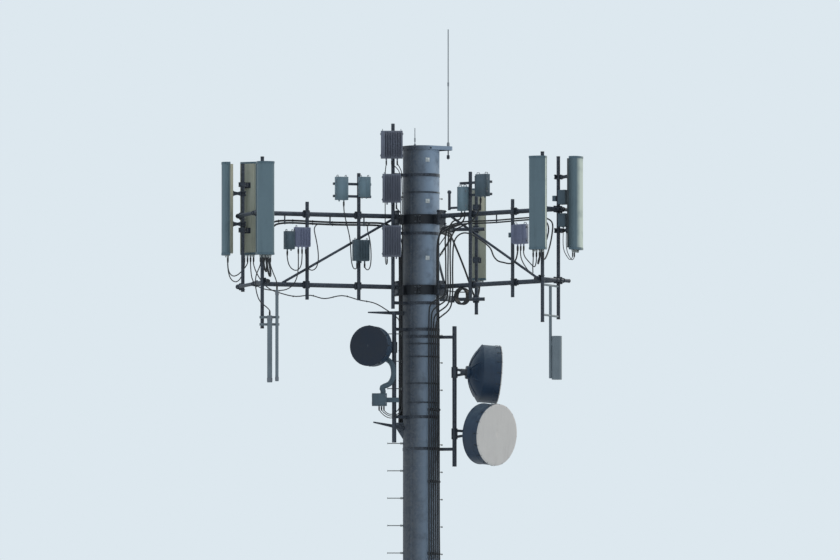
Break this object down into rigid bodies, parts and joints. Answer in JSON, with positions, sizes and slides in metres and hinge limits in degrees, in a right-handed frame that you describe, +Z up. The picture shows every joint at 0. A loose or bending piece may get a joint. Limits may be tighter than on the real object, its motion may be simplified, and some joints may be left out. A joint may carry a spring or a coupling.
{
  "type": "monopole cell tower",
  "caption": "Stepped tube monopole with panel antennas and radios on booms, shrouded microwave dishes, hanging whips and climbing pegs.",
  "frame": {"origin": "centre of the base plate's underside, at ground level", "axes": "+Z up the pole; -Y is the side that faces the picture's camera, +X its right"},
  "size_m": [6.0153, 6.0922, 26.37],
  "materials": {
    "pole_steel": "weathered satin paint over galvanising",
    "base_steel": "hot-dip galvanised, matt",
    "mount_steel": "dark weathered galvanising",
    "strap_steel": "dull stainless",
    "rod_metal": "satin",
    "cable_jacket": "matt black jacket",
    "antenna_shell": "matt slate blue-grey",
    "radio_housing": "matt grey powder coat",
    "whip_shell": "matt grey",
    "dish_shell": "matt dark blue-grey",
    "cover_light": "matt warm light grey",
    "cover_dark": "matt dark blue"
  },
  "bodies": {
    "root": {"base_plate": "base_steel", "pole_base_section": "pole_steel", "pole_middle_section": "pole_steel", "pole_top_section": "pole_steel", "top_cap": "pole_steel", "lightning_rods": "rod_metal", "step_pegs": "base_steel", "feeder_cables": "cable_jacket", "cable_hangers": "strap_steel", "cable_guard": "pole_steel", "band_straps": "strap_steel", "upper_collar": "mount_steel", "lower_collar": "mount_steel", "left_boom": "mount_steel", "right_boom": "mount_steel", "rear_boom": "mount_steel", "left_face_frame": "mount_steel", "right_face_frame": "mount_steel", "rear_face_frame": "mount_steel", "left_antenna_pipes": "mount_steel", "right_antenna_pipes": "mount_steel", "rear_antenna_pipes": "mount_steel", "left_antennas": "antenna_shell", "right_antennas": "antenna_shell", "rear_antennas": "antenna_shell", "left_antenna_brackets": "mount_steel", "right_antenna_brackets": "mount_steel", "rear_antenna_brackets": "mount_steel", "stack_pipe": "mount_steel", "stack_radios": "radio_housing", "left_radio_pipes": "mount_steel", "right_radio_pipes": "mount_steel", "rear_radio_pipes": "mount_steel", "left_radios": "radio_housing", "right_radios": "radio_housing", "rear_radios": "radio_housing", "left_whips": "whip_shell", "right_whip": "whip_shell", "left_dish_pipe": "mount_steel", "right_dish_pipe": "mount_steel", "left_dish_mount": "strap_steel", "upper_dish_mount": "strap_steel", "lower_dish_mount": "strap_steel", "left_dish": "dish_shell", "upper_dish": "dish_shell", "lower_dish": "dish_shell", "left_dish_cover": "cover_dark", "upper_dish_cover": "cover_light", "lower_dish_cover": "cover_light", "left_cables": "cable_jacket", "right_cables": "cable_jacket", "rear_cables": "cable_jacket", "stack_cables": "cable_jacket", "cable_coil": "cable_jacket", "cable_hoods": "pole_steel", "left_arms": "mount_steel", "junction_box": "radio_housing", "junction_duct": "radio_housing", "right_amplifiers": "radio_housing"}
  },
  "joints": []
}
